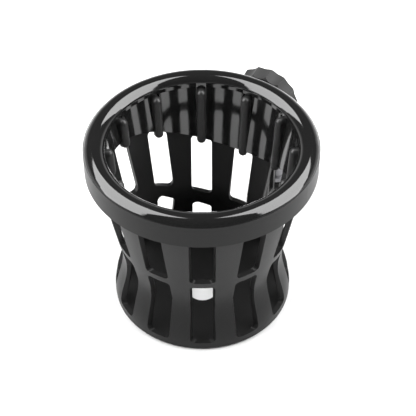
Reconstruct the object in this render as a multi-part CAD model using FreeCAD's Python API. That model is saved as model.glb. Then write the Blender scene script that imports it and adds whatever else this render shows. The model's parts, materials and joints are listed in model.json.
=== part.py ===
import FreeCAD, Part
import math
import os

# Desk clamp cup holder, in millimetres.
# +Z is up, the basket's axis is the Z axis and its base stands on z = 0.
# The clamp is on the +Y side. An angle round the basket is counted from +Y towards +X.

# ---- basket ----
base_radius = 41.8
base_edge_height = 2.5        # straight edge above the floor's underside
base_chamfer = 0.6
belly_height = 10.5           # the flared foot's rounded shoulder
belly_radius = 40.8
shoulder_height = 18.5
shoulder_radius = 38.7
waist_height = 27.0
waist_radius = 37.6
wall = 2.4
floor_thickness = 2.6
drain_radius = 6.9
drain_offset = 7.0            # from the axis
drain_angle = 150.0
swell = [(0.177, 0.156), (0.53, 0.544), (0.766, 0.789)]   # shares of the way from the waist to
                              # the collar, up and out, where the cage swells slightly
collar_bottom = 77.9
collar_radius = 52.0
collar_height = 11.5
collar_wall = 3.6
collar_overhang = 5.4         # collar's radius beyond the cage's top
collar_chamfer = 0.5

# ---- slots through the basket ----
slot_count = 12
upper_slot_inner_width = 9.8
upper_slot_outer_width = 11.8
lower_slot_inner_width = 9.2
lower_slot_outer_width = 11.9
slot_corner = 2.2
upper_slot_top = 74.0         # heights on the far side from the clamp
upper_slot_bottom = 43.2
lower_slot_top = 39.7
lower_slot_bottom = 4.2
swoop_width = 110.0           # angle over which the slots dip towards the clamp
upper_top_dip = 19.5
upper_bottom_dip = 19.5
lower_top_dip = 26.0

# ---- lip and sleeve ----
lip_set_back = 0.1            # lip's radius inside the collar's
lip_width = 9.4
lip_height = 2.9
lip_turn_down = 2.6           # how far the lip's inner edge comes down below its seat
skirt_wall = 1.6
skirt_depth = 5.0
seat_clearance = 0.15
sleeve_wall = 1.3
sleeve_behind_lip = 0.8       # bore's radius beyond the lip's inner edge, at the lip
sleeve_gap = 0.5              # between the sleeve's lowest edge and the cage wall
sleeve_above_slot = 1.0       # sleeve's edge above the slots' tops

# ---- grip ribs ----
rib_radius = 2.2
rib_top_stand = 2.3           # rib's middle line in front of the bore, at its top
rib_low_stand = -1.0          # and at the sleeve's lowest edge
rib_sink = 0.8                # depth of the rib's flat back in the sleeve
rib_below_slot = 2.0          # rib's rounded end below the slot's top
rib_fit = 0.03
rib_top_gap = 0.4

# ---- clamp mount and lock ----
lock_height = 71.5
thread_radius = 4.0
thread_clearance = 0.05
boss_radius = 11.0
boss_recess = 1.4             # boss's face inside the collar's outer radius
boss_depth = 6.4
spot_face_margin = 0.6        # flat cut in the collar round the boss
insert_wall = 1.5
insert_length = 6.0
friction_disc_radius = 11.0
friction_disc_thickness = 1.5
joint_gap = 0.1
hole_clearance = 0.3
head_radius = 13.0
head_thickness = 3.7
washer_radius = 8.5
washer_thickness = 1.2
lock_knob_radius = 15.9
lock_knob_thickness = 7.2
lock_knob_lobes = 14
lock_knob_turn = 21.0         # of the first ridge from the top
lobe_dip = 0.8
lock_knob_taper = 0.7
lock_stud_reach = 5.2         # stud inside the boss
cap_radius = 7.0
cap_thickness = 1.2
cap_stand_out = 0.3

# ---- clamp frame ----
frame_half_width = 4.5
neck_half_width = 6.5
spine_stand_off = 7.9         # spine's near face beyond the boss's face
spine_thickness = 7.5
arm_bottom = 42.5
arm_thickness = 7.0
neck_bottom = 46.0
jaw_bottom = 2.5
jaw_thickness = 5.5
frame_corner = 6.0
throat_depth = 10.0           # from the spine to the clamp screw's middle line
arm_boss_radius = 7.6
arm_boss_extra = 1.2
lower_jaw_radius = 10.0
web_height = 2.4              # rounded inner corner above the lower jaw

# ---- clamp screw and pads ----
bush_wall = 1.5
screw_pad_gap = 0.6           # jaw pad to swivel pad at rest
jaw_pad_radius = 7.6
jaw_pad_thickness = 1.8
jaw_pad_stem_radius = 2.5
swivel_pad_radius = 7.6
swivel_pad_height = 6.4
pad_face_thickness = 1.2
ball_radius = 2.6
ball_clearance = 0.1
socket_floor = 1.2
screw_neck_radius = 1.6
screw_neck_length = 4.0
retainer_radius = 3.6
retainer_thickness = 0.8
screw_chamfer = 0.8
screw_knob_radius = 7.6
screw_knob_height = 8.0
screw_knob_gap = 1.0          # knob above the frame's boss at rest
screw_knob_lobes = 10
screw_cap_radius = 4.6
cross_pin_radius = 1.0

# ---- derived places ----
collar_top = collar_bottom + collar_height
collar_bore = collar_radius - collar_wall
cone_top_radius = collar_radius - collar_overhang
lip_outer_radius = collar_radius - lip_set_back
lip_inner_radius = lip_outer_radius - lip_width
lip_middle = (lip_outer_radius + lip_inner_radius) / 2
cage_height = collar_bottom - waist_height
cage_flare = cone_top_radius - waist_radius
cone_places = [(waist_height + up * cage_height, waist_radius + out * cage_flare) for up, out in swell]
cage_places = [(base_edge_height, base_radius), (belly_height, belly_radius), (shoulder_height, shoulder_radius),
               (waist_height, waist_radius)] + cone_places + [(collar_bottom, cone_top_radius)]
sleeve_low_height = cone_places[1][0]
sleeve_top_radius = lip_inner_radius + sleeve_behind_lip
sleeve_low_radius = cone_places[1][1] - wall - sleeve_gap - sleeve_wall
sleeve_slope = (sleeve_top_radius - sleeve_low_radius) / (collar_top - sleeve_low_height)
rib_top_axis = sleeve_top_radius - rib_top_stand
rib_low_axis = sleeve_low_radius - rib_low_stand
insert_radius = thread_radius + insert_wall
bush_radius = thread_radius + bush_wall
boss_face = collar_radius - boss_recess
spine_near = boss_face + spine_stand_off
disc_face = boss_face + joint_gap
head_face = disc_face + friction_disc_thickness
head_back = head_face + head_thickness
washer_face = head_back + joint_gap
knob_face = washer_face + washer_thickness + joint_gap
knob_back = knob_face + lock_knob_thickness
spine_far = spine_near + spine_thickness
screw_reach = spine_far + throat_depth
arm_top = arm_bottom + arm_thickness
jaw_top = jaw_bottom + jaw_thickness
pad_bottom = jaw_top + jaw_pad_thickness + screw_pad_gap
cup_bottom = pad_bottom + pad_face_thickness
ball_height = cup_bottom + socket_floor + ball_radius
pad_top = cup_bottom + swivel_pad_height
screw_bottom = ball_height + screw_neck_length
screw_knob_bottom = arm_top + arm_boss_extra + screw_knob_gap
screw_knob_top = screw_knob_bottom + screw_knob_height


def vec(x, y, z):
    return FreeCAD.Vector(x, y, z)


def line(a, b):
    return Part.LineSegment(a, b).toShape()


def arc(a, b, c):
    return Part.Arc(a, b, c).toShape()


def closed_face(edges):
    return Part.Face(Part.Wire(Part.__sortEdges__(edges)))


def revolved(edges):
    """Turns a closed outline in the XZ plane into a solid round the Z axis."""
    return closed_face(edges).revolve(vec(0, 0, 0), vec(0, 0, 1), 360)


def polyline(points):
    return [line(points[i], points[i + 1]) for i in range(len(points) - 1)]


def turned(shape, angle):
    """A copy moved round the basket from +Y towards +X."""
    copy = shape.copy()
    copy.rotate(vec(0, 0, 0), vec(0, 0, 1), -angle)
    return copy


def along_y(radius, start, end, x=0.0, z=lock_height):
    return Part.makeCylinder(radius, end - start, vec(x, start, z), vec(0, 1, 0))


def along_z(radius, start, end, y=screw_reach):
    return Part.makeCylinder(radius, end - start, vec(0, y, start), vec(0, 0, 1))


def dip(angle):
    """How much of the dip towards the clamp applies at an angle, from 0 to 1."""
    away = abs((angle + 180) % 360 - 180)
    if away >= swoop_width:
        return 0.0
    return math.cos(math.radians(90 * away / swoop_width)) ** 2


def upper_top(angle):
    return upper_slot_top - upper_top_dip * dip(angle)


def upper_bottom(angle):
    return upper_slot_bottom - upper_bottom_dip * dip(angle)


def lower_top(angle):
    return lower_slot_top - lower_top_dip * dip(angle)


def lower_bottom(angle):
    return lower_slot_bottom


def wall_radius(height):
    """The basket's outer radius at a height, close enough to place the slots' cutters."""
    for (low, low_radius), (high, high_radius) in zip(cage_places, cage_places[1:]):
        if height <= high:
            return low_radius + (high_radius - low_radius) * (height - low) / (high - low)
    return cone_top_radius


def sleeve_bore(height):
    return sleeve_top_radius - sleeve_slope * (collar_top - height)


# ---- basket ----

def cage_curve(inset):
    """The cage wall from the foot's lower edge to the collar, moved in by the inset."""
    curve = Part.BSplineCurve()
    curve.interpolate([vec(radius - inset, 0, height) for height, radius in cage_places])
    return curve.toShape()


def basket_shell():
    outside = [vec(0, 0, 0), vec(base_radius - base_chamfer, 0, 0), vec(base_radius, 0, base_chamfer),
               vec(base_radius, 0, base_edge_height)]
    collar = [vec(cone_top_radius, 0, collar_bottom),
              vec(collar_radius - collar_chamfer, 0, collar_bottom),
              vec(collar_radius, 0, collar_bottom + collar_chamfer), vec(collar_radius, 0, collar_top),
              vec(collar_bore, 0, collar_top), vec(collar_bore, 0, collar_bottom + wall),
              vec(cone_top_radius - wall, 0, collar_bottom)]
    floor = [vec(base_radius - wall, 0, base_edge_height), vec(base_radius - wall, 0, floor_thickness),
             vec(0, 0, floor_thickness), vec(0, 0, 0)]
    edges = polyline(outside) + [cage_curve(0)] + polyline(collar) + [cage_curve(wall)] + polyline(floor)
    return revolved(edges)


def rounded_wire(corners, radii):
    """A closed outline whose corners are rounded where their radius isn't zero."""
    edges = []
    ends = []
    for i, (corner, radius) in enumerate(zip(corners, radii)):
        before = (corners[i - 1] - corner).normalize()
        after = (corners[(i + 1) % len(corners)] - corner).normalize()
        half_angle = before.getAngle(after) / 2
        run = radius / math.tan(half_angle)
        ends.append((corner + before * run, corner + after * run))
        middle = corner + (before + after).normalize() * (radius / math.sin(half_angle) - radius)
        edges.append(arc(ends[-1][0], middle, ends[-1][1]) if radius else None)
    ordered = []
    for i, corner_arc in enumerate(edges):
        ordered += [corner_arc, line(ends[i][1], ends[(i + 1) % len(ends)][0])]
    return Part.Wire([edge for edge in ordered if edge])


def slot_outline(width, stretch, depth):
    """The outline of one stretch of a slot on the wall's slope, depth mm outside the wall."""
    bottoms, tops, low_corner, high_corner = stretch
    low = sum(bottoms) / 2
    high = sum(tops) / 2
    slope = (wall_radius(high) - wall_radius(low)) / (high - low)

    def place(side, height):
        return vec(side * width / 2, wall_radius(low) + slope * (height - low) + depth, height)

    corners = [place(-1, bottoms[0]), place(1, bottoms[1]), place(1, tops[1]), place(-1, tops[0])]
    return rounded_wire(corners, [low_corner, low_corner, high_corner, high_corner])


def slot_stretches(bottoms, tops):
    """A slot that runs past the waist is cut in two stretches, one along each slope of the wall."""
    waist = (waist_height, waist_height)
    if sum(bottoms) / 2 < waist_height - slot_corner * 2 and sum(tops) / 2 > waist_height + slot_corner * 2:
        return [(bottoms, waist, slot_corner, 0.0), (waist, tops, 0.0, slot_corner)]
    return [(bottoms, tops, slot_corner, slot_corner)]


def slot_cutter(angle, inner_width, outer_width, bottom_at, top_at):
    """A drafted cutter, wider at the outside, whose ends follow the dip towards the clamp."""
    spread = math.degrees(outer_width / 2 / waist_radius)
    bottoms = (bottom_at(angle - spread), bottom_at(angle + spread))
    tops = (top_at(angle - spread), top_at(angle + spread))
    draft = (outer_width - inner_width) / wall
    pieces = []
    for stretch in slot_stretches(bottoms, tops):
        inside = slot_outline(inner_width, stretch, -wall)
        deeper = slot_outline(inner_width, stretch, -3 * wall)
        outside = slot_outline(outer_width + draft * wall, stretch, wall)
        pieces.append(Part.makeLoft([inside, outside], True, True))
        pieces.append(Part.makeLoft([deeper, inside], True, True))
    return turned(pieces[0].fuse(pieces[1:]).removeSplitter(), angle)


def slot_cutters():
    cutters = []
    for number in range(slot_count):
        angle = number * 360 / slot_count
        cutters.append(slot_cutter(angle, upper_slot_inner_width, upper_slot_outer_width, upper_bottom, upper_top))
        cutters.append(slot_cutter(angle, lower_slot_inner_width, lower_slot_outer_width, lower_bottom, lower_top))
    return cutters


def make_basket():
    inner_face = boss_face - boss_depth
    boss = along_y(boss_radius, inner_face, boss_face)
    spot_face = along_y(boss_radius + spot_face_margin, boss_face, collar_radius + wall)
    shell = basket_shell().cut(spot_face).fuse(boss)
    drain = Part.makeCylinder(drain_radius, 3 * floor_thickness, vec(0, drain_offset, -floor_thickness))
    insert_hole = along_y(insert_radius, inner_face - wall, boss_face + wall)
    basket = shell.cut(slot_cutters() + [turned(drain, drain_angle), insert_hole])
    return basket.removeSplitter()


# ---- lip, sleeve and ribs ----

def dip_block(raise_by):
    """A block whose top follows the slots' tops round the basket, raised by an amount."""
    curves = []
    for radius in (sleeve_low_radius / 2, collar_radius + 2 * wall):
        points = []
        for angle in range(0, 360, 15):
            turn = math.radians(angle)
            points.append(vec(radius * math.sin(turn), radius * math.cos(turn), upper_top(angle) + raise_by))
        curve = Part.BSplineCurve()
        curve.interpolate(Points=points, PeriodicFlag=True)
        curves.append(curve.toShape())
    top = Part.makeRuledSurface(curves[0], curves[1])
    return top.extrude(vec(0, 0, -collar_top))


def rib_axis(height):
    """Distance of a rib's middle line from the basket's axis at a height."""
    lean = (rib_top_axis - rib_low_axis) / (rib_top() - sleeve_low_height)
    return rib_low_axis + lean * (height - sleeve_low_height)


def rib_top():
    return collar_top - lip_turn_down - rib_top_gap


def rib_bar(bottom, top, radius, sink):
    """A round-nosed bar at angle 0 with a flat back, sunk in the sleeve."""
    start = vec(0, rib_axis(bottom + radius), bottom + radius)
    end = vec(0, rib_axis(top - radius), top - radius)
    back = vec(0, collar_bore, 0)
    nose = Part.makeCylinder(radius, (end - start).Length, start, end - start)
    web = Part.Face(Part.makePolygon([start, end, vec(0, back.y, end.z), vec(0, back.y, start.z), start]))
    web.translate(vec(-radius, 0, 0))
    ends = [Part.makeSphere(radius, start), Part.makeSphere(radius, end),
            Part.makeCylinder(radius, back.y - start.y, start, vec(0, 1, 0)),
            Part.makeCylinder(radius, back.y - end.y, end, vec(0, 1, 0))]
    bar = nose.fuse([web.extrude(vec(2 * radius, 0, 0))] + ends)
    low = bottom - 4 * radius
    high = collar_top + 4 * radius
    behind = [vec(0, sleeve_bore(low) + sink, low), vec(0, 2 * collar_radius, low),
              vec(0, 2 * collar_radius, high), vec(0, sleeve_bore(high) + sink, high)]
    block = Part.Face(Part.makePolygon(behind + behind[:1]))
    block.translate(vec(-2 * radius, 0, 0))
    return bar.cut(block.extrude(vec(4 * radius, 0, 0))).removeSplitter()


def make_insert():
    """The rounded lip with its locating skirt and the smooth sleeve, one moulding."""
    low = sleeve_low_height
    seat = collar_top
    bead = [arc(vec(lip_outer_radius, 0, seat), vec(lip_middle, 0, seat + lip_height), vec(lip_inner_radius, 0, seat))]
    skirt_outside = collar_bore - seat_clearance
    skirt_inside = skirt_outside - skirt_wall
    turn_down = seat - lip_turn_down
    under = [vec(lip_inner_radius, 0, seat), vec(lip_inner_radius, 0, turn_down),
             vec(sleeve_bore(turn_down), 0, turn_down),
             vec(sleeve_bore(low), 0, low),
             vec(sleeve_bore(low) + sleeve_wall, 0, low),
             vec(sleeve_bore(seat) + sleeve_wall, 0, seat),
             vec(skirt_inside, 0, seat), vec(skirt_inside, 0, seat - skirt_depth),
             vec(skirt_outside, 0, seat - skirt_depth), vec(skirt_outside, 0, seat),
             vec(lip_outer_radius, 0, seat)]
    blank = revolved(bead + polyline(under))
    channel = rib_bar(low - 3 * rib_radius, rib_top() + rib_fit, rib_radius + rib_fit, rib_sink + rib_fit)
    channels = [turned(channel, number * 360 / slot_count) for number in range(slot_count)]
    insert = blank.cut([dip_block(sleeve_above_slot)] + channels)
    return insert.removeSplitter()


def make_rib(number):
    angle = number * 360 / slot_count
    return turned(rib_bar(upper_top(angle) - rib_below_slot, rib_top(), rib_radius, rib_sink), angle)


# ---- lock between basket and clamp ----

def make_boss_insert():
    body = along_y(insert_radius, boss_face - insert_length, boss_face)
    return body.cut(along_y(thread_radius + thread_clearance, boss_face - 2 * insert_length, boss_face + wall))


def disc_with_hole(radius, start, thickness):
    disc = along_y(radius, start, start + thickness)
    return disc.cut(along_y(thread_radius + hole_clearance, start - wall, start + thickness + wall))


def make_friction_disc():
    """A rubber disc with shallow radial grooves, bonded to the frame's head."""
    disc = disc_with_hole(friction_disc_radius, disc_face, friction_disc_thickness)
    grooves = []
    for number in range(12):
        groove = Part.makeBox(0.8, 0.4, friction_disc_radius, vec(-0.4, disc_face - 0.1, lock_height + 6.0))
        groove.rotate(vec(0, 0, lock_height), vec(0, 1, 0), number * 30)
        grooves.append(groove)
    return disc.cut(grooves)


def scalloped_wire(radius, lobes, dip_depth):
    """A knob's outline in the XY plane: sharp ridges with shallow hollows between them."""
    edges = []
    for number in range(lobes):
        start = 2 * math.pi * number / lobes
        end = 2 * math.pi * (number + 1) / lobes
        middle = (start + end) / 2
        hollow = radius * math.cos(math.pi / lobes) - dip_depth
        edges.append(arc(vec(radius * math.cos(start), radius * math.sin(start), 0),
                         vec(hollow * math.cos(middle), hollow * math.sin(middle), 0),
                         vec(radius * math.cos(end), radius * math.sin(end), 0)))
    return Part.Wire(edges)


def scalloped_knob(near_radius, far_radius, height, lobes, dip_depth):
    """A scalloped knob on the Z axis from z = 0 up, slightly tapered, with both rims eased."""
    low = scalloped_wire(near_radius, lobes, dip_depth)
    high = scalloped_wire(far_radius, lobes, dip_depth)
    high.translate(vec(0, 0, height))
    body = Part.makeLoft([low, high], True, True)
    largest = max(near_radius, far_radius)
    ease = height * 0.12
    dome = [vec(0, 0, 0), vec(largest - 2 * ease, 0, 0), vec(largest + 0.2, 0, 1.6 * ease),
            vec(largest + 0.2, 0, height - 0.8 * ease), vec(largest - ease, 0, height), vec(0, 0, height), vec(0, 0, 0)]
    return body.common(revolved(polyline(dome)))


def make_lock_knob():
    knob = scalloped_knob(lock_knob_radius - lock_knob_taper, lock_knob_radius, lock_knob_thickness,
                          lock_knob_lobes, lobe_dip)
    knob.rotate(vec(0, 0, 0), vec(0, 0, 1), 90 - lock_knob_turn)
    knob.rotate(vec(0, 0, 0), vec(1, 0, 0), -90)
    knob.translate(vec(0, knob_face, lock_height))
    recess = along_y(cap_radius, knob_back - cap_thickness + cap_stand_out, knob_back + wall)
    bore = along_y(thread_radius, knob_face - wall, knob_back + wall)
    return knob.cut([recess, bore])


def make_lock_cap():
    start = knob_back - cap_thickness + cap_stand_out
    return along_y(cap_radius - seat_clearance, start, start + cap_thickness)


def make_lock_stud():
    stud = along_y(thread_radius, boss_face - lock_stud_reach, knob_back - cap_thickness + cap_stand_out)
    tip = stud.Edges
    rims = [edge for edge in tip if edge.BoundBox.YMax < boss_face]
    return stud.makeChamfer(0.6, rims)


def make_lock_washer():
    return disc_with_hole(washer_radius, washer_face, washer_thickness)


# ---- clamp frame ----

def frame_side_outline():
    """The C-shaped frame seen from the side, in the YZ plane."""
    corner = frame_corner
    tilt = corner * (1 - math.sqrt(0.5))

    def at(y, z):
        return vec(0, y, z)

    lower_end = screw_reach
    points_upper = [at(head_face, neck_bottom), at(head_face, lock_height), at(head_back, lock_height),
                    at(head_back, arm_top + 2.0), at(head_back + 2.0, arm_top), at(screw_reach, arm_top),
                    at(screw_reach, arm_bottom), at(spine_far + corner, arm_bottom)]
    inner_top = arc(at(spine_far + corner, arm_bottom), at(spine_far + tilt, arm_bottom - tilt),
                    at(spine_far, arm_bottom - corner))
    inner_low = arc(at(spine_far, jaw_top + web_height), at(spine_far + web_height * 0.2929, jaw_top + web_height * 0.2929),
                    at(spine_far + web_height, jaw_top))
    jaw = [at(spine_far + web_height, jaw_top), at(lower_end, jaw_top), at(lower_end, jaw_bottom),
           at(spine_near + corner, jaw_bottom)]
    outer_low = arc(at(spine_near + corner, jaw_bottom), at(spine_near + tilt, jaw_bottom + tilt),
                    at(spine_near, jaw_bottom + corner))
    back = [at(spine_near, jaw_bottom + corner), at(spine_near, arm_bottom), at(head_face, neck_bottom)]
    spine = line(at(spine_far, arm_bottom - corner), at(spine_far, jaw_top + web_height))
    return (polyline(points_upper) + [inner_top, spine, inner_low] + polyline(jaw) + [outer_low] + polyline(back))


def make_clamp_frame():
    side = closed_face(frame_side_outline())
    side.translate(vec(-frame_half_width, 0, 0))
    plate = side.extrude(vec(2 * frame_half_width, 0, 0))
    head = along_y(head_radius, head_face, head_back)
    neck = Part.makeBox(2 * neck_half_width, head_thickness, lock_height - neck_bottom - arm_thickness / 2,
                        vec(-neck_half_width, head_face, neck_bottom + arm_thickness / 2))
    arm_boss = along_z(arm_boss_radius, arm_bottom - arm_boss_extra, arm_top + arm_boss_extra)
    jaw = along_z(lower_jaw_radius, jaw_bottom, jaw_top)
    solid = plate.fuse([head, neck, arm_boss, jaw])
    holes = [along_y(thread_radius + hole_clearance, head_face - wall, head_back + wall),
             along_z(bush_radius, arm_bottom - 2 * arm_boss_extra, arm_top + 2 * arm_boss_extra),
             along_z(jaw_pad_stem_radius, jaw_bottom - wall, jaw_top + wall)]
    hollow = make_frame_pockets()
    return solid.cut(holes + hollow).removeSplitter()


def make_frame_pockets():
    """Shallow pockets in both sides of the spine, which leave an I-shaped section."""
    pockets = []
    depth = 1.6
    for side in (-1, 1):
        x = side * frame_half_width
        start = min(x, x - side * depth)
        pocket = Part.makeBox(depth, spine_thickness - 3.0, arm_bottom - jaw_top - 8.0,
                              vec(start, spine_near + 1.5, jaw_top + 4.0))
        pockets.append(pocket.makeFillet(1.2, [e for e in pocket.Edges if e.BoundBox.XLength > depth / 2]))
    return pockets


# ---- clamp screw and pads ----

def make_thread_bush():
    low = arm_bottom - arm_boss_extra
    high = arm_top + arm_boss_extra
    return along_z(bush_radius, low, high).cut(along_z(thread_radius + thread_clearance, low - wall, high + wall))


def make_clamp_screw():
    shaft = along_z(thread_radius, screw_bottom, screw_knob_top - 1.5)
    low_rim = [edge for edge in shaft.Edges if edge.BoundBox.ZMax < screw_bottom + 0.1]
    shaft = shaft.makeChamfer(screw_chamfer, low_rim)
    neck = along_z(screw_neck_radius, ball_height, screw_bottom + 0.5)
    ball = Part.makeSphere(ball_radius, vec(0, screw_reach, ball_height))
    return shaft.fuse([neck, ball]).cut(cross_pin_bar(0.0)).removeSplitter()


def cross_pin_bar(shorter):
    height = screw_knob_bottom + screw_knob_height * 0.4
    reach = screw_knob_radius - 1.6 - shorter
    return Part.makeCylinder(cross_pin_radius, 2 * reach, vec(-reach, screw_reach, height), vec(1, 0, 0))


def make_screw_knob():
    knob = scalloped_knob(screw_knob_radius - 0.4, screw_knob_radius, screw_knob_height, screw_knob_lobes, 0.45)
    knob.translate(vec(0, screw_reach, screw_knob_bottom))
    recess = along_z(screw_cap_radius, screw_knob_top - 1.5, screw_knob_top + wall)
    bore = along_z(thread_radius, screw_knob_bottom - wall, screw_knob_top)
    return knob.cut([recess, bore, cross_pin_bar(0.0)])


def make_screw_cap():
    return along_z(screw_cap_radius - seat_clearance, screw_knob_top - 1.5, screw_knob_top + 0.3)


def make_cross_pin():
    return cross_pin_bar(0.2)


def make_swivel_pad():
    """A cup with a ball socket, which tilts on the screw's ball end."""
    cup = along_z(swivel_pad_radius, cup_bottom, cup_bottom + 2.2)
    neck = Part.makeCone(swivel_pad_radius - 1.5, retainer_radius + 1.2, swivel_pad_height - 2.2,
                         vec(0, screw_reach, cup_bottom + 2.2))
    socket = Part.makeSphere(ball_radius + ball_clearance, vec(0, screw_reach, ball_height))
    mouth = along_z(retainer_radius, pad_top - retainer_thickness, pad_top + wall)
    throat = Part.makeCone(ball_radius + ball_clearance, retainer_radius, pad_top - ball_height,
                           vec(0, screw_reach, ball_height))
    return cup.fuse(neck).cut([socket, mouth, throat]).removeSplitter()


def make_pad_retainer():
    """A split spring ring that keeps the ball in the cup."""
    low = pad_top - retainer_thickness
    ring = along_z(retainer_radius - 0.05, low, pad_top).cut(along_z(screw_neck_radius + 0.7, low - 1, pad_top + 1))
    gap = Part.makeBox(1.2, retainer_radius * 2, 3 * retainer_thickness,
                       vec(-0.6, screw_reach, low - retainer_thickness))
    return ring.cut(gap)


def make_pad_face():
    return along_z(swivel_pad_radius - 0.4, pad_bottom, cup_bottom)


def make_jaw_pad():
    pad = along_z(jaw_pad_radius, jaw_top, jaw_top + jaw_pad_thickness)
    stem = along_z(jaw_pad_stem_radius, jaw_bottom + 0.8, jaw_top)
    return pad.fuse(stem).removeSplitter()


def parts():
    shapes = {
        "basket": make_basket(),
        "lip_and_sleeve": make_insert(),
        "boss_thread_insert": make_boss_insert(),
        "friction_disc": make_friction_disc(),
        "lock_washer": make_lock_washer(),
        "lock_stud": make_lock_stud(),
        "lock_knob": make_lock_knob(),
        "lock_knob_cap": make_lock_cap(),
        "clamp_frame": make_clamp_frame(),
        "thread_bush": make_thread_bush(),
        "clamp_screw": make_clamp_screw(),
        "screw_knob": make_screw_knob(),
        "screw_knob_cap": make_screw_cap(),
        "screw_cross_pin": make_cross_pin(),
        "swivel_pad": make_swivel_pad(),
        "pad_retainer": make_pad_retainer(),
        "swivel_pad_face": make_pad_face(),
        "lower_jaw_pad": make_jaw_pad(),
    }
    for number in range(slot_count):
        shapes["grip_rib_%02d" % (number + 1)] = make_rib(number)
    return shapes


os.makedirs("parts", exist_ok=True)
for name, shape in parts().items():
    solids = shape.Solids
    print(name, len(solids), round(shape.Volume, 1), shape.isValid())
    if len(solids) == 1:
        shape = solids[0]
    shape.exportStep("parts/" + name + ".step")
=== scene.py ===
import json
import math

import bpy
from mathutils import Matrix, Vector


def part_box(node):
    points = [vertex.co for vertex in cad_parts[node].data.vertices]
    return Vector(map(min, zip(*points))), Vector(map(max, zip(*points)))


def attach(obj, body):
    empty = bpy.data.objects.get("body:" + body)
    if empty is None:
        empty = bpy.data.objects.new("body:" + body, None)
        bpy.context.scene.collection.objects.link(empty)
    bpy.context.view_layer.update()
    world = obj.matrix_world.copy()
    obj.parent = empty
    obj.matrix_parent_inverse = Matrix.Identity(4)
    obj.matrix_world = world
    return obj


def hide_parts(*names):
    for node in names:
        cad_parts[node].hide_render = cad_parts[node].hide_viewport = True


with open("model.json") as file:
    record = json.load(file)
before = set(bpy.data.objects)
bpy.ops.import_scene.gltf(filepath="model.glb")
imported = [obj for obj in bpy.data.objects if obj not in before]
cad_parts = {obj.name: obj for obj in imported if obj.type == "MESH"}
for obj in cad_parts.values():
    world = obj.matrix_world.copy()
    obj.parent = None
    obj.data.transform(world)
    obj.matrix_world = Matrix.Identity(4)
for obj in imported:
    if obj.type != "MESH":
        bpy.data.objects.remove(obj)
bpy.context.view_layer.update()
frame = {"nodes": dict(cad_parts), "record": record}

scene = bpy.context.scene
nodes = frame["nodes"]

# ---------------------------------------------------------------- camera

CAMERA_PLACE = Vector((0.21425, -0.37110, 0.47040))
CAMERA_AIM = Vector((-0.3531, 0.6208, -0.6999))
CAMERA_ROLL = math.radians(-0.16)
SENSOR_WIDTH = 36.0           # mm
LENS_LENGTH = 113.3           # mm
NEAREST_SEEN = 0.01


def place_camera():
    """A long lens looking down at the holder from in front and to the right of the clamp's plane."""
    camera = bpy.data.objects.new("camera", bpy.data.cameras.new("camera"))
    scene.collection.objects.link(camera)
    camera.data.sensor_width = SENSOR_WIDTH
    camera.data.lens = LENS_LENGTH
    camera.data.clip_start = NEAREST_SEEN
    aim = CAMERA_AIM.normalized()
    right = aim.cross(Vector((0, 0, 1))).normalized()
    up = right.cross(aim)
    across = right * math.cos(CAMERA_ROLL) + up * math.sin(CAMERA_ROLL)
    upward = across.cross(aim)
    turn = Matrix((across, upward, -aim)).transposed()
    camera.matrix_world = Matrix.Translation(CAMERA_PLACE) @ turn.to_4x4()
    scene.camera = camera


place_camera()

# ---------------------------------------------------------------- shader helpers


def grey(level):
    return (level, level, level, 1.0)


def set_stops(ramp, stops):
    """Gives a colour ramp its stops, each a position and a grey level."""
    while len(ramp.elements) < len(stops):
        ramp.elements.new(1.0)
    for element, (position, level) in zip(ramp.elements, stops):
        element.position = position
        element.color = grey(level)


class Value:
    """A shader socket that can be used in sums."""

    def __init__(self, shader, socket):
        self.shader = shader
        self.socket = socket

    def sum(self, operation, first, second):
        return self.shader.node("ShaderNodeMath", {"operation": operation}, {0: first, 1: second})

    def __add__(self, other):
        return self.sum("ADD", self, other)

    def __mul__(self, other):
        return self.sum("MULTIPLY", self, other)


class Shader:
    """A material under construction, with one Principled surface."""

    def __init__(self, name, **constants):
        self.material = bpy.data.materials.new(name)
        self.material.use_nodes = True
        self.tree = self.material.node_tree
        self.tree.nodes.clear()
        self.surface = self.tree.nodes.new("ShaderNodeBsdfPrincipled")
        output = self.tree.nodes.new("ShaderNodeOutputMaterial")
        self.tree.links.new(self.surface.outputs[0], output.inputs["Surface"])
        for socket_name, constant in constants.items():
            self.set(socket_name.replace("_", " "), constant)

    def set(self, socket_name, value):
        self.join(value, self.surface.inputs[socket_name])

    def join(self, value, socket):
        if isinstance(value, Value):
            self.tree.links.new(value.socket, socket)
        else:
            socket.default_value = value

    def node(self, kind, settings=None, sockets=None, output=0):
        """Adds a node: its settings first, then its sockets' values or links."""
        node = self.tree.nodes.new(kind)
        for key, setting in (settings or {}).items():
            if key == "stops":
                set_stops(node.color_ramp, setting)
            else:
                setattr(node, key, setting)
        for key, value in (sockets or {}).items():
            self.join(value, node.inputs[key])
        return Value(self, node.outputs[output])

    def place(self):
        return self.node("ShaderNodeTexCoord", output="Object")

    def noise(self, scale, detail=2.0, roughness=0.5, stretch=(1, 1, 1)):
        """Cloudy noise from 0 to 1, scale in cycles per metre."""
        mapped = self.node("ShaderNodeMapping", {}, {"Vector": self.place(), "Scale": stretch})
        return self.node("ShaderNodeTexNoise", {}, {"Vector": mapped, "Scale": scale, "Detail": detail,
                                                    "Roughness": roughness})

    def ramp(self, value, *stops):
        return self.node("ShaderNodeValToRGB", {"stops": stops}, {"Fac": value})

    def blend(self, amount, first, second):
        """A colour between two colours."""
        return self.node("ShaderNodeMix", {"data_type": "RGBA"}, {0: amount, 6: first, 7: second}, output=2)

    def relief(self, *layers):
        """Stacks bumps: each layer is a height and its depth in metres."""
        normal = None
        for height, depth in layers:
            sockets = {"Height": height, "Distance": depth, "Strength": 1.0}
            if normal:
                sockets["Normal"] = normal
            normal = self.node("ShaderNodeBump", {}, sockets)
        self.set("Normal", normal)


# ---------------------------------------------------------------- materials


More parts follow.
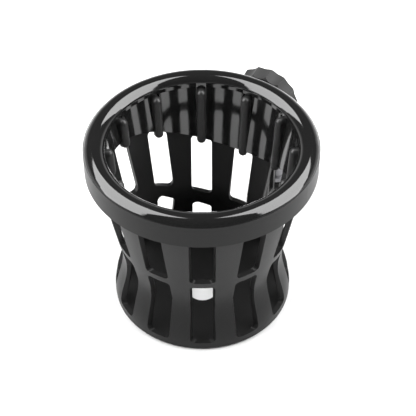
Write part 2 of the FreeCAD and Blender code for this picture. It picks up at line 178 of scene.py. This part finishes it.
def satin_plastic(name, level, roughness, grain, depth):
    """Moulded plastic with a fine spark-eroded grain."""
    s = Shader(name, IOR=1.46, Specular_IOR_Level=0.2)
    cloud = s.noise(90, 4.0)
    speck = s.noise(grain, 3.0, 0.6)
    s.set("Base Color", s.blend(cloud, grey(level * 0.85), grey(level * 1.2)))
    s.set("Roughness", cloud * 0.06 + speck * 0.08 + (roughness - 0.07))
    s.relief((speck, depth), (cloud, depth * 2))
    return s.material


def gloss_plastic(name, level, roughness):
    """Polished plastic with the faint ripple of a moulded surface and a little handling haze."""
    s = Shader(name, IOR=1.5, Specular_IOR_Level=0.8)
    ripple = s.noise(45, 1.0)
    haze = s.noise(170, 4.0, 0.6)
    dust = s.noise(2600, 2.0, 0.6)
    s.set("Base Color", s.blend(ripple, grey(level * 0.8), grey(level * 1.25)))
    s.set("Roughness", s.ramp(haze, (0.45, roughness), (0.8, roughness + 0.05)))
    s.relief((ripple, 0.00003), (dust, 0.0000002))
    return s.material


def rubber(name, level, roughness):
    """Soft rubber with a dusty bloom."""
    s = Shader(name, IOR=1.5, Specular_IOR_Level=0.45)
    bloom = s.noise(260, 5.0, 0.6)
    grain = s.noise(3800, 2.0)
    s.set("Base Color", s.blend(bloom, grey(level * 0.75), grey(level * 1.5)))
    s.set("Roughness", bloom * 0.12 + (roughness - 0.06))
    s.relief((grain, 0.00001), (bloom, 0.00002))
    return s.material


def powder_coat(name, level):
    """Baked powder coat: an orange-peel skin over cast metal."""
    s = Shader(name, IOR=1.5, Specular_IOR_Level=0.5)
    peel = s.noise(1500, 2.0)
    cloud = s.noise(120, 3.0)
    s.set("Base Color", s.blend(cloud, grey(level * 0.8), grey(level * 1.3)))
    s.set("Roughness", peel * 0.14 + 0.36)
    s.relief((peel, 0.00004))
    return s.material


def turned_metal(name, colour, roughness):
    """Plated or turned metal with fine tool lines."""
    s = Shader(name, Metallic=1.0)
    lines = s.noise(2600, 2.0, 0.5, (1, 1, 0.05))
    tarnish = s.noise(240, 4.0)
    dark = tuple(c * 0.7 for c in colour) + (1.0,)
    s.set("Base Color", s.blend(tarnish, dark, tuple(colour) + (1.0,)))
    s.set("Roughness", lines * 0.15 + (roughness - 0.05))
    s.relief((lines, 0.000006))
    return s.material


finishes = {
    "basket_plastic": satin_plastic("satin_black", 0.009, 0.36, 2600, 0.000012),
    "gloss_plastic": gloss_plastic("gloss_black", 0.008, 0.06),
    "grip_rubber": rubber("grip_rubber", 0.02, 0.34),
    "knob_plastic": satin_plastic("knob_black", 0.035, 0.48, 1900, 0.00003),
    "cap_plastic": satin_plastic("cap_black", 0.02, 0.30, 2600, 0.000008),
    "frame_paint": powder_coat("powder_coat_black", 0.022),
    "plated_steel": turned_metal("zinc_plated_steel", (0.24, 0.24, 0.25), 0.32),
    "brass": turned_metal("turned_brass", (0.70, 0.52, 0.25), 0.30),
    "pad_rubber": rubber("pad_rubber", 0.018, 0.62),
}

for subpart in frame["record"]["subparts"]:
    mesh = nodes[subpart["node"]].data
    mesh.materials.clear()
    mesh.materials.append(finishes[subpart["material_slot"]])

# ---------------------------------------------------------------- lip and sleeve

SLOTS = 12
SWOOP_WIDTH = 110             # degrees either side of the clamp over which the slots dip
SLEEVE_FOOT = 0.075           # the sleeve's lower edge away from the clamp
FOOT_DIP = 0.0195             # how far that edge dips at the clamp
LIP_WIDTH = 0.0094
LIP_TURN_DOWN = 0.0026
LIP_EDGE = 0.0003             # eased corner at the foot of the lip's inner edge
LIP_ROUND_OVER = 0.0006
BORE_BEHIND_LIP = 0.0008
BORE_SLOPE = 0.1412
SLEEVE_WALL = 0.0013
SKIRT_RADIUS = 0.04825
SKIRT_WALL = 0.0016
SKIRT_DEPTH = 0.005
RIB_HALF_TURN = 3.05          # degrees either side of a rib's middle taken by its channel
CHANNEL_SIDE = 0.03           # degrees taken by the channel's steep side
CHANNEL_DEPTH = 0.00083
BORE_COLUMNS = 24
BEAD_STEPS = 20
BORE_STEPS = 12
SOFT_CREASE = 32              # degrees: gentler edges than this are shaded smooth
THREAD_CREASE = 40


def clean_mesh(name, points, faces, crease):
    """A smooth-shaded piece, with edges sharper than the crease kept crisp."""
    mesh = bpy.data.meshes.new(name)
    mesh.from_pydata(points, [], faces)
    mesh.update()
    mesh.shade_smooth()
    mesh.set_sharp_from_angle(angle=math.radians(crease))
    piece = bpy.data.objects.new(name, mesh)
    scene.collection.objects.link(piece)
    return piece


def swoop(turn):
    """Share of the dip towards the clamp, from 0 in front to 1 at the clamp."""
    away = abs((turn + 180) % 360 - 180)
    return math.cos(math.radians(90 * away / SWOOP_WIDTH)) ** 2 if away < SWOOP_WIDTH else 0.0


def sleeve_columns():
    """Turns round the sleeve in degrees, each with how far its bore stands in from plain round."""
    columns = []
    for slot in range(SLOTS):
        middle = slot * 360 / SLOTS
        start = middle + RIB_HALF_TURN + CHANNEL_SIDE
        run = 360 / SLOTS - 2 * RIB_HALF_TURN - 2 * CHANNEL_SIDE
        columns += [(middle - RIB_HALF_TURN, -CHANNEL_DEPTH), (middle + RIB_HALF_TURN, -CHANNEL_DEPTH)]
        columns += [(start + run * step / BORE_COLUMNS, 0.0) for step in range(BORE_COLUMNS + 1)]
    return columns


def lip_and_sleeve():
    """The rounded lip, its skirt, and the sleeve that follows the slots' tops, as one skin."""
    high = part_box("lip_and_sleeve")[1]
    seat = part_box("basket")[1][2]
    lip_out = high[0]
    rise = high[2] - seat
    lip_in = lip_out - LIP_WIDTH
    turn_down = seat - LIP_TURN_DOWN
    bore_top = lip_in + BORE_BEHIND_LIP
    skirt_in = SKIRT_RADIUS - SKIRT_WALL
    skirt_low = seat - SKIRT_DEPTH
    half = (lip_out - lip_in) / 2
    bead_radius = (half * half + rise * rise) / (2 * rise)
    bead_half_turn = math.asin(half / bead_radius)

    def section_at(turn, stand_in):
        """The skin's outline at a turn, as radius and height, from the lip's outer edge inwards."""
        foot = SLEEVE_FOOT - FOOT_DIP * swoop(turn)
        outside = bore_top + SLEEVE_WALL
        section = []
        for step in range(BEAD_STEPS + 1):
            lean = bead_half_turn * (1 - 2 * step / BEAD_STEPS)
            section.append((lip_in + half + bead_radius * math.sin(lean),
                            seat + rise - bead_radius * (1 - math.cos(lean))))
        section += [(lip_in, seat - LIP_ROUND_OVER), (lip_in, turn_down + LIP_EDGE),
                    (lip_in + LIP_EDGE, turn_down)]
        for step in range(BORE_STEPS + 1):
            height = turn_down + (foot - turn_down) * step / BORE_STEPS
            section.append((bore_top - BORE_SLOPE * (seat - height) - stand_in, height))
        section += [(outside - BORE_SLOPE * (seat - foot), foot),
                    (outside - BORE_SLOPE * (seat - skirt_low), skirt_low), (outside, seat),
                    (skirt_in, seat), (skirt_in, skirt_low), (SKIRT_RADIUS, skirt_low), (SKIRT_RADIUS, seat)]
        return section

    columns = sleeve_columns()
    points = []
    for turn, stand_in in columns:
        sine = math.sin(math.radians(turn))
        cosine = math.cos(math.radians(turn))
        points += [(radius * sine, radius * cosine, height) for radius, height in section_at(turn, stand_in)]
    count = len(points) // len(columns)
    faces = []
    for column in range(len(columns)):
        after = (column + 1) % len(columns)
        for i in range(count):
            j = (i + 1) % count
            faces.append((column * count + i, after * count + i, after * count + j, column * count + j))
    piece = clean_mesh("lip_and_gloss_sleeve", points, faces, SOFT_CREASE)
    piece.data.materials.append(finishes["gloss_plastic"])
    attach(piece, "holder")
    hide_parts("lip_and_sleeve")


lip_and_sleeve()

# ---------------------------------------------------------------- clamp screw

THREAD_RADIUS = 0.004
THREAD_DEPTH = 0.0006
THREAD_PITCH = 0.002
CREST_REACH = 1.35            # shape of the thread's flanks: a flat crest, sloping flanks, a flat root
FLANK_SLOPE = 3.2
RINGS_PER_TURN = 12
ROUND_COLUMNS = 48
BALL_RADIUS = 0.0026
BALL_RINGS = 11
BALL_STEPS = 14               # from pole to pole; the last few are left out for the neck
BALL_TOP = 0.0021             # from the ball's middle to where the neck starts
NECK_RADIUS = 0.0016
NECK_LENGTH = 0.004           # from the ball's middle to the thread's end
NECK_CORNER = 0.0001
END_RADIUS = 0.003            # flat end of the threaded part
CHAMFER_HEIGHT = 0.0004
PLAIN_END = 0.0006            # unthreaded length at the screw's end


def screw_rings():
    """Height, root radius and thread depth of each ring, from the ball's end up to the knob."""
    low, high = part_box("clamp_screw")
    ball_middle = low[2] + BALL_RADIUS
    end = ball_middle + NECK_LENGTH
    root = THREAD_RADIUS - THREAD_DEPTH
    rings = []
    for step in range(1, BALL_RINGS + 1):
        lean = math.pi * step / BALL_STEPS
        rings.append((ball_middle - BALL_RADIUS * math.cos(lean), BALL_RADIUS * math.sin(lean), 0.0))
    rings += [(ball_middle + BALL_TOP, NECK_RADIUS, 0.0), (end - NECK_CORNER, NECK_RADIUS, 0.0),
              (end, NECK_RADIUS + 2 * NECK_CORNER, 0.0), (end, END_RADIUS, 0.0),
              (end + CHAMFER_HEIGHT, root, 0.0)]
    count = int((high[2] - end - PLAIN_END) / THREAD_PITCH * RINGS_PER_TURN)
    for step in range(count + 1):
        height = end + PLAIN_END + step * THREAD_PITCH / RINGS_PER_TURN
        rings.append((height, root, THREAD_DEPTH * min(1.0, step / RINGS_PER_TURN)))
    return rings


def clamp_screw():
    """The screw with its ball end, turned neck and a right-hand thread up to the knob."""
    low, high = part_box("clamp_screw")
    middle_y = (low[1] + high[1]) / 2
    rings = screw_rings()
    points = []
    for height, radius, ridge in rings:
        for column in range(ROUND_COLUMNS):
            share = column / ROUND_COLUMNS
            phase = (height / THREAD_PITCH - share) % 1.0
            crest = min(1.0, max(0.0, CREST_REACH - FLANK_SLOPE * abs(phase - 0.5)))
            reach = radius + ridge * crest
            turn = 2 * math.pi * share
            points.append((reach * math.cos(turn), middle_y + reach * math.sin(turn), height))
    faces = [tuple(reversed(range(ROUND_COLUMNS)))]
    for ring in range(len(rings) - 1):
        here = ring * ROUND_COLUMNS
        above = here + ROUND_COLUMNS
        for column in range(ROUND_COLUMNS):
            after = (column + 1) % ROUND_COLUMNS
            faces.append((here + column, here + after, above + after, above + column))
    top = (len(rings) - 1) * ROUND_COLUMNS
    faces.append(tuple(top + column for column in range(ROUND_COLUMNS)))
    piece = clean_mesh("threaded_clamp_screw", points, faces, THREAD_CREASE)
    piece.data.materials.append(finishes["plated_steel"])
    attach(piece, "screw")
    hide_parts("clamp_screw")


clamp_screw()

# ---------------------------------------------------------------- studio

FLOOR_REACH = 1.0
FLOOR_GAP = 0.0002            # keeps the floor just clear of the basket's underside
SOFTBOX_WIDTH = 1.02
SOFTBOX_HEIGHT = 1.75
SOFTBOX_POWER = 34            # watts
AIR_LEVELS = [(0.0, 0.95), (0.08, 0.85), (0.32, 0.07)]   # brightness by height over the horizon
AWAY = Vector((-0.5, 0.866, 0))       # from the camera's side to the far side
ACROSS = Vector((0.866, 0.5, 0))      # from left to right as the camera sees it


def floor():
    """A pale sweep under the holder, level with its base."""
    corners = [(-FLOOR_REACH, -FLOOR_REACH, 0), (FLOOR_REACH, -FLOOR_REACH, 0),
               (FLOOR_REACH, FLOOR_REACH, 0), (-FLOOR_REACH, FLOOR_REACH, 0)]
    mesh = bpy.data.meshes.new("studio_floor")
    mesh.from_pydata(corners, [], [(0, 1, 2, 3)])
    sweep = bpy.data.objects.new("studio_floor", mesh)
    sweep.location.z = -FLOOR_GAP
    scene.collection.objects.link(sweep)
    s = Shader("pale_sweep", Roughness=0.6, Specular_IOR_Level=0.2)
    s.set("Base Color", s.blend(s.noise(3, 3.0), grey(0.80), grey(0.83)))
    mesh.materials.append(s.material)


def seen_from_camera(away, across, up):
    """A vector given by the camera's far side, its right and up."""
    return AWAY * away + ACROSS * across + Vector((0, 0, up))


def softbox(name, side):
    """A tall soft light on one side, leaning over the holder so that the lip mirrors it squarely."""
    place = seen_from_camera(0.10, side * 0.86, 0.94)
    long_side = seen_from_camera(-0.58, side * 0.52, -0.49)
    back = place.normalized()
    short_side = long_side.cross(back).normalized()
    light = bpy.data.objects.new(name, bpy.data.lights.new(name, "AREA"))
    light.data.shape = "RECTANGLE"
    light.data.size = SOFTBOX_WIDTH
    light.data.size_y = SOFTBOX_HEIGHT
    light.data.energy = SOFTBOX_POWER
    turn = Matrix((short_side, back.cross(short_side), back)).transposed()
    light.matrix_world = Matrix.Translation(place) @ turn.to_4x4()
    scene.collection.objects.link(light)


def studio_air():
    """Dim air overhead and a pale band level with the holder, as from a white room's far walls."""
    world = bpy.data.worlds.new("studio_air")
    world.use_nodes = True
    tree = world.node_tree
    place = tree.nodes.new("ShaderNodeTexCoord")
    height = tree.nodes.new("ShaderNodeSeparateXYZ")
    band = tree.nodes.new("ShaderNodeValToRGB")
    set_stops(band.color_ramp, AIR_LEVELS)
    tree.links.new(place.outputs["Generated"], height.inputs[0])
    tree.links.new(height.outputs["Z"], band.inputs["Fac"])
    tree.links.new(band.outputs["Color"], tree.nodes["Background"].inputs["Color"])
    return world


floor()
softbox("left_softbox", -1)
softbox("right_softbox", 1)
scene.world = studio_air()
scene.view_settings.view_transform = "Standard"
